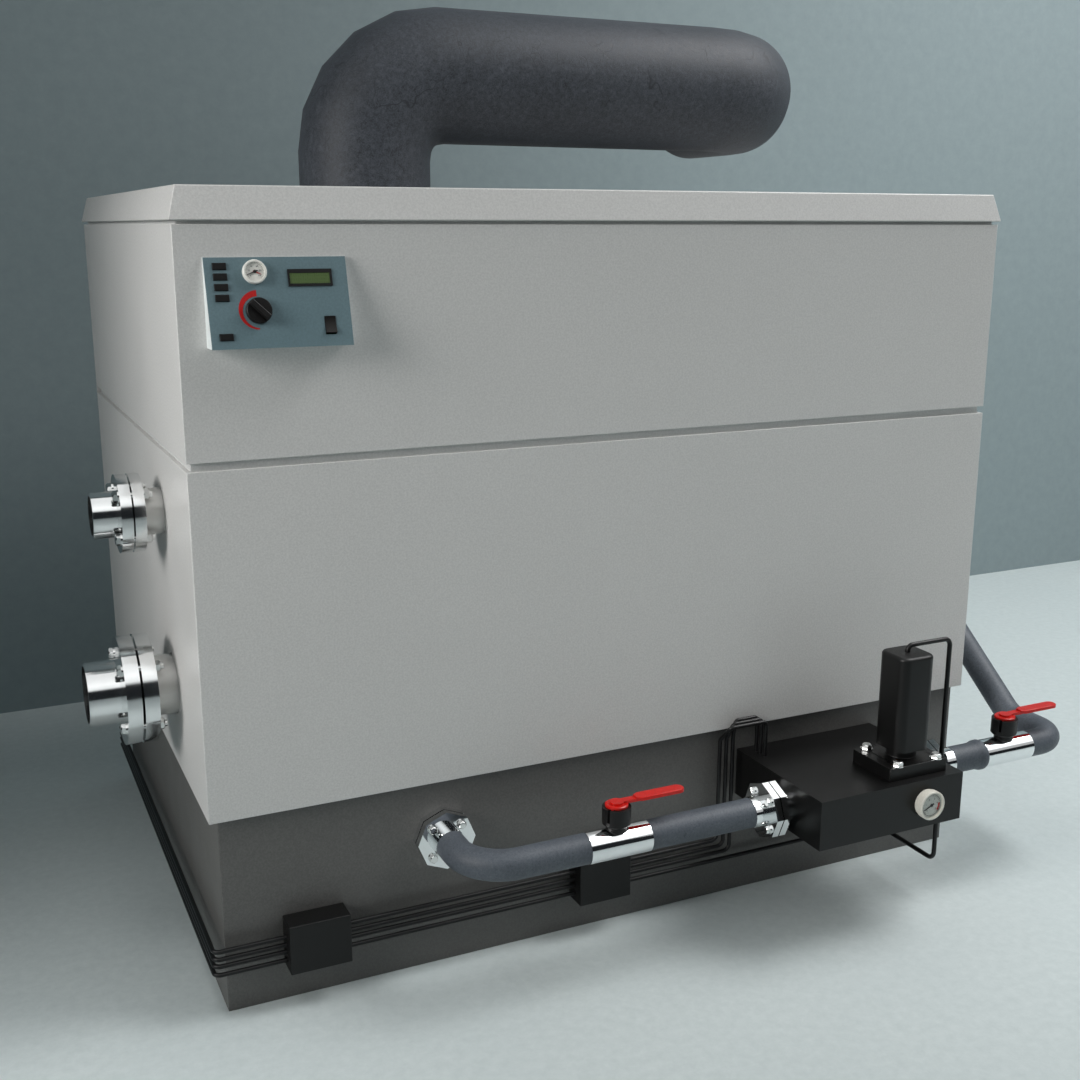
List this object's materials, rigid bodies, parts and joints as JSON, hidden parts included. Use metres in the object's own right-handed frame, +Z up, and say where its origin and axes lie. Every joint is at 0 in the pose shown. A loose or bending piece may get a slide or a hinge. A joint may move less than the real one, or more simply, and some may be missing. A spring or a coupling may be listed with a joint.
{
  "type": "gas pool heater",
  "caption": "Floor-standing gas pool heater: sheet-metal cabinet, roof flue duct, two flanged water ports on the left, gas train along the front, sloping control panel.",
  "frame": {"origin": "on the floor at the centre of the cabinet's footprint, which is also the centre of the four anchor holes", "axes": "+Z up, the front with the control panel faces -Y, the water ports leave the left side along -X"},
  "size_m": [1.6961, 1.236, 1.5206],
  "materials": {
    "jacket_paint": "fine-grained semi-matte paint",
    "trim": "satin",
    "plinth_paint": "matte",
    "frame_paint": "matte",
    "pipe_coating": "mottled satin coating",
    "chrome": "polished",
    "gasket": "matte",
    "header_casting": "satin cast",
    "copper": "satin",
    "brass": "satin",
    "burner_steel": "satin",
    "iron_pipe": "matte",
    "refractory": "matte",
    "igniter": "matte",
    "black_satin": "satin",
    "black_plastic": "satin",
    "lever_red": "gloss",
    "steel": "satin",
    "coil": "satin",
    "gauge_enamel": "satin",
    "needle_black": "satin",
    "panel_body": "satin",
    "panel_face": "fine texture",
    "display": "satin",
    "dial_white": "satin",
    "control_black": "satin",
    "board": "satin"
  },
  "bodies": {
    "cabinet": {"actuator_base": "black_satin", "actuator_base_bolts": "chrome", "actuator_coil": "coil", "actuator_cover": "black_plastic", "base_frame": "frame_paint", "burner_feed_elbow": "pipe_coating", "burner_feed_pipe": "pipe_coating", "burner_orifices": "brass", "burner_tray": "burner_steel", "burner_tubes": "burner_steel", "closing_spring": "steel", "conduits": "black_plastic", "control_board": "board", "display_module": "display", "finned_tubes": "copper", "flame_igniter": "igniter", "flange_gaskets": "gasket", "flue_collector": "burner_steel", "flue_duct": "pipe_coating", "gas_block": "black_satin", "gas_flange_bolts": "chrome", "gas_flanges": "chrome", "gas_manifold": "iron_pipe", "gauge_case": "gauge_enamel", "junction_boxes": "black_plastic", "left_header": "header_casting", "lower_jacket": "jacket_paint", "lower_port_inner_flange": "chrome", "lower_port_outer_flange": "chrome", "panel_face": "panel_face", "panel_housing": "panel_body", "plinth": "plinth_paint", "rear_panel": "jacket_paint", "refractory_panels": "refractory", "right_header": "header_casting", "supply_nipple": "pipe_coating", "supply_pipe": "pipe_coating", "thermometer_case": "dial_white", "top_cap": "jacket_paint", "trim_frame": "trim", "upper_jacket": "jacket_paint", "upper_port_inner_flange": "chrome", "upper_port_outer_flange": "chrome", "valve_bodies": "chrome", "valve_stem_housings": "black_plastic", "water_port_bolts": "chrome"},
    "burner_valve": {"burner_valve_stem": "steel", "burner_valve_lever": "lever_red"},
    "supply_valve": {"supply_valve_stem": "steel", "supply_valve_lever": "lever_red"},
    "valve_core": {"actuator_core": "steel"},
    "gauge_pointer": {"gauge_needle": "needle_black"},
    "thermometer_pointer": {"thermometer_needle": "needle_black"},
    "knob": {"thermostat_knob": "control_black"},
    "rocker": {"rocker_switch": "control_black"},
    "button_1": {"menu_button_1": "control_black"},
    "button_2": {"menu_button_2": "control_black"},
    "button_3": {"menu_button_3": "control_black"},
    "button_4": {"menu_button_4": "control_black"},
    "reset": {"reset_button": "control_black"}
  },
  "joints": [
    {"name": "burner_valve_turn", "type": "hinge", "parent": "cabinet", "child": "burner_valve", "pos_m": [-0.1025, -0.619, 0.22], "axis": [0, 0, 1], "range_deg": [-90, 0]},
    {"name": "supply_valve_turn", "type": "hinge", "parent": "cabinet", "child": "supply_valve", "pos_m": [0.7045, -0.6005, 0.226], "axis": [0, 0, 1], "range_deg": [-90, 0]},
    {"name": "gas_valve_lift", "type": "slide", "parent": "cabinet", "child": "valve_core", "axis": [0, 0, 1], "range_m": [0, 0.008], "stiffness_N_per_m": 800, "springref_m": -0.004, "deforming": ["closing_spring"]},
    {"name": "gauge_needle_turn", "type": "hinge", "parent": "cabinet", "child": "gauge_pointer", "pos_m": [0.422, -0.7355, 0.228], "axis": [0, -1, 0], "range_deg": [-250, 20]},
    {"name": "thermometer_needle_turn", "type": "hinge", "parent": "cabinet", "child": "thermometer_pointer", "pos_m": [-0.5972, -0.50585, 1.09503], "axis": [0, -0.9692, 0.2464], "range_deg": [-250, 20]},
    {"name": "thermostat_turn", "type": "hinge", "parent": "cabinet", "child": "knob", "pos_m": [-0.5964, -0.51857, 1.04503], "axis": [0, -0.9692, 0.2464], "range_deg": [-135, 135]},
    {"name": "rocker_tilt", "type": "hinge", "parent": "cabinet", "child": "rocker", "pos_m": [-0.5003, -0.5142, 1.02162], "axis": [1, 0, 0], "range_deg": [0, 12]},
    {"name": "menu_button_1_press", "type": "slide", "parent": "cabinet", "child": "button_1", "axis": [0, 0.9692, -0.2464], "range_m": [0, 0.0016], "stiffness_N_per_m": 300},
    {"name": "menu_button_2_press", "type": "slide", "parent": "cabinet", "child": "button_2", "axis": [0, 0.9692, -0.2464], "range_m": [0, 0.0016], "stiffness_N_per_m": 300},
    {"name": "menu_button_3_press", "type": "slide", "parent": "cabinet", "child": "button_3", "axis": [0, 0.9692, -0.2464], "range_m": [0, 0.0016], "stiffness_N_per_m": 300},
    {"name": "menu_button_4_press", "type": "slide", "parent": "cabinet", "child": "button_4", "axis": [0, 0.9692, -0.2464], "range_m": [0, 0.0016], "stiffness_N_per_m": 300},
    {"name": "reset_button_press", "type": "slide", "parent": "cabinet", "child": "reset", "axis": [0, 0.9692, -0.2464], "range_m": [0, 0.0016], "stiffness_N_per_m": 300}
  ]
}
